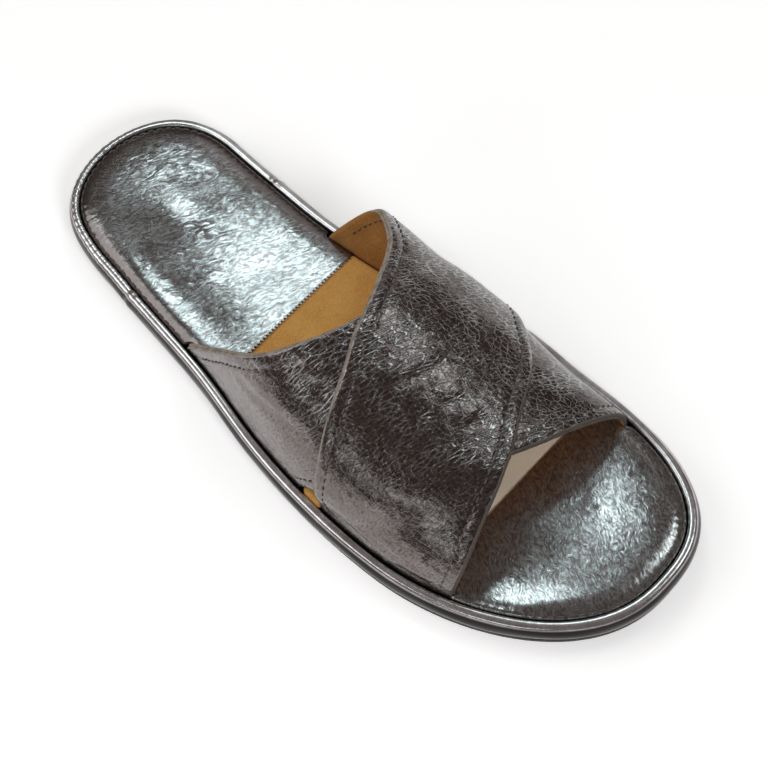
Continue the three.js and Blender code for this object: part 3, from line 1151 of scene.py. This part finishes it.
def strap_lining(strap):
    """The strap's suede lining, a little proud of the leather's edges."""
    shares = np.linspace(0, 1, LINING_ROWS + 1)
    along = strap.columns(shares, (), -LINING_PROUD, LINING_COLUMNS)
    grid = np.broadcast_to(shares[:, None], along.shape)
    lift = strap.lift(grid, along)
    face = wall_point(grid, along, lift + LINING_THICK)
    back = wall_point(grid, along, lift)
    points, faces, kinds = two_sided(face, back)
    new_piece("lining_" + strap.name, points, faces, [EDGE, EDGE, LINING], "suede", kinds)


# Stitches

STITCH_SIDES = 6
STITCH_RINGS = 6

# A stitch's shape in shares of its radius: height of its bow, dip of its ends, thinning
BOW_HEIGHT = 0.75
BOW_DIP = 1.35
BOW_POWER = 2.5
END_THINNING = 0.75
THINNING_POWER = 4
THINNEST = 0.05


def stitches(path, out, pitch, length, radius):
    """Points and faces of short bowed stitches along a path; their ends dip into the leather."""
    distance = walked(path)
    centres = np.arange(pitch / 2, distance[-1] - length / 2, pitch)
    if not len(centres):
        return np.zeros((0, 3)), []
    t = np.linspace(-1, 1, STITCH_RINGS)
    at = centres[:, None] + t[None] * length / 2
    middle = np.stack([np.interp(at, distance, values) for values in path.T], -1)
    up = unit(np.stack([np.interp(at, distance, values) for values in out.T], -1))
    side = np.cross(unit(np.gradient(middle, axis=1)), up)
    bow = radius * (BOW_HEIGHT - BOW_DIP * np.abs(t) ** BOW_POWER)
    thick = radius * np.sqrt(np.clip(1 - END_THINNING * np.abs(t) ** THINNING_POWER, THINNEST, 1))
    middle = middle + up * bow[None, :, None]
    turn = np.linspace(0, 2 * math.pi, STITCH_SIDES, endpoint=False)
    spread = side[:, :, None] * np.cos(turn)[:, None] + up[:, :, None] * np.sin(turn)[:, None]
    points = middle[:, :, None] + spread * thick[None, :, None, None]
    each = STITCH_RINGS * STITCH_SIDES
    index = np.arange(each).reshape(STITCH_RINGS, STITCH_SIDES)
    after = np.roll(index, -1, 1)
    quads = np.stack([index[:-1], index[1:], after[1:], after[:-1]], -1).reshape(-1, 4).tolist()
    one = quads + [index[0].tolist(), index[-1][::-1].tolist()]
    faces = [[k * each + corner for corner in face] for k in range(len(centres)) for face in one]
    return points.reshape(-1, 3), faces


def joined(parts):
    """Several lots of points and faces as one."""
    points = []
    faces = []
    count = 0
    for some_points, some_faces in parts:
        points.append(some_points)
        faces += [[count + corner for corner in face] for face in some_faces]
        count += len(some_points)
    return np.concatenate(points), faces


def stitched(path, out, keep, *sizes):
    """Stitches along each unbroken stretch of a path where keep is true."""
    change = np.diff(np.concatenate([[False], keep, [False]]).astype(int))
    stretches = zip(np.flatnonzero(change == 1), np.flatnonzero(change == -1))
    return [stitches(path[start:end], out[start:end], *sizes) for start, end in stretches]


# Stretch over the foot that each row of stitches takes up
STITCH_SHARES = np.linspace(0.035, 0.965, 600)
COVERED_MARGIN = 1.0


def covered(strap, share, along):
    """True where the other strap hides this one's face, for the lower strap, or its lining."""
    other = TOP_STRAP if strap.name == "under" else UNDER_STRAP
    rear = curve(other, "share", "rear", share) - COVERED_MARGIN
    front = curve(other, "share", "front", share) + COVERED_MARGIN
    return (along > rear) & (along < front)


def strap_stitches(strap):
    """Rows of stitches inside both edges, on the face and through to the lining."""
    parts = []
    share = STITCH_SHARES
    for which in ("rear", "front"):
        along = strap.inward(which, share, STITCH_ROW)
        lift = strap.lift(share, along)
        out = wall_out(share, along)
        face = wall_point(share, along, lift + WALL + strap.relief(share, along))
        back = wall_point(share, along, lift)
        shown = ~covered(strap, share, along)
        whole = np.ones_like(shown)
        on_face, on_lining = (shown, whole) if strap.name == "under" else (whole, shown)
        parts += stitched(face, out, on_face, *STITCH_SIZES)
        parts += stitched(back, -out, on_lining, *STITCH_SIZES)
    new_piece("stitches_" + strap.name, *joined(parts), [THREAD], "foil")


SEAM_ROW = 5.6
SEAM_ROW_HEIGHT = 10.62
SEAM_STITCH_LENGTH = 2.6
SEAM_STITCH_RADIUS = 0.32
SEWN_FIRM = 0.9


def seam_stitches():
    """Stitches that hold the sock's margin down round the heel and the toe."""
    path = lifted(LOOP.inside(SEAM_ROW), SEAM_ROW_HEIGHT)
    along = LOOP.points[:, 1]
    on_foil = (along < SOCK_REAR_CUT) | (along > SOCK_FRONT_CUT)
    sewn = (sewn_share() > SEWN_FIRM) & on_foil
    up = np.tile((0.0, 0.0, 1.0), (LOOP.count, 1))
    # The walk starts halfway along the inner side, where nothing is sewn, so no row is split
    turned = np.roll(np.arange(LOOP.count), LOOP.count // 4)
    sizes = (SEAM_PITCH, SEAM_STITCH_LENGTH, SEAM_STITCH_RADIUS)
    parts = stitched(path[turned], up[turned], sewn[turned], *sizes)
    new_piece("seam_stitches", *joined(parts), [THREAD], "wrap")


outsole()
platform()
socks()
pinked_edge()
for each_strap in STRAPS:
    strap_leather(each_strap)
    strap_lining(each_strap)
    strap_stitches(each_strap)
seam_stitches()

# Floor, light and camera

FLOOR_SIZE = 30.0


def floor():
    bpy.ops.mesh.primitive_plane_add(size=FLOOR_SIZE)
    plane = bpy.context.object
    plane.name = "floor"
    plane.data.materials.append(floor_paint())


# Soft panels: name, direction from the shoe, distance, width and height in metres, watts, colour,
# and whether the gloss of the shoe mirrors them
COOL = (0.90, 0.985, 1.0)
WHITE = (0.985, 0.99, 1.0)
PANELS = (
    ("window", (-0.279, -0.489, 0.826), 8.0, 1.7, 1.7, 36.0, (0.82, 0.975, 1.0), True),
    ("inner_panel", (-0.45, 0.16, 0.88), 2.0, 0.6, 0.6, 3.2, COOL, True),
    ("outer_panel", (0.84, 0.26, 0.46), 2.0, 0.8, 0.4, 2.0, (0.90, 0.98, 1.0), True),
    ("rear_panel", (-0.70, -0.45, 0.55), 2.0, 0.9, 0.9, 1.0, (1.0, 0.97, 0.98), True),
    ("front_fill", (0.20, 0.80, 0.56), 2.0, 0.5, 0.5, 15.0, WHITE, False),
    ("top_fill", (0.0, -0.25, 0.97), 2.0, 0.9, 0.9, 4.0, (1.0, 0.98, 0.95), False),
    ("right_panel", (0.47, -0.53, 0.70), 2.0, 1.5, 1.1, 9.5, WHITE, True),
)


def softbox(name, towards, distance, width, height, watts, colour, mirrored):
    """A soft panel of light that faces the shoe from a direction."""
    data = bpy.data.lights.new(name, "AREA")
    data.shape = "RECTANGLE"
    data.size = width
    data.size_y = height
    data.energy = watts
    data.color = colour
    panel = bpy.data.objects.new(name, data)
    bpy.context.scene.collection.objects.link(panel)
    way = Vector(towards).normalized()
    panel.visible_glossy = mirrored
    panel.location = way * distance
    panel.rotation_mode = "QUATERNION"
    panel.rotation_quaternion = way.to_track_quat("Z", "Y")


def lights():
    for panel in PANELS:
        softbox(*panel)
    world = bpy.data.worlds.new("studio")
    world.use_nodes = True
    world.node_tree.nodes["Background"].inputs["Color"].default_value = ROOM_DARK
    bpy.context.scene.world = world
    bpy.context.scene.view_settings.view_transform = "Standard"


CAMERA_AT = Vector((0.1474, 0.2094, 0.4916))
CAMERA_AIM = Vector((0.0014, 0.0188, 0.020))
CAMERA_ROLL = -10.5
CAMERA_LENS = 76.0


def camera():
    data = bpy.data.cameras.new("camera")
    data.lens = CAMERA_LENS
    viewer = bpy.data.objects.new("camera", data)
    bpy.context.scene.collection.objects.link(viewer)
    viewer.location = CAMERA_AT
    viewer.rotation_mode = "QUATERNION"
    aim = (CAMERA_AIM - CAMERA_AT).to_track_quat("-Z", "Y")
    viewer.rotation_quaternion = aim @ Quaternion((0, 0, 1), math.radians(CAMERA_ROLL))
    bpy.context.scene.camera = viewer


floor()
lights()
camera()
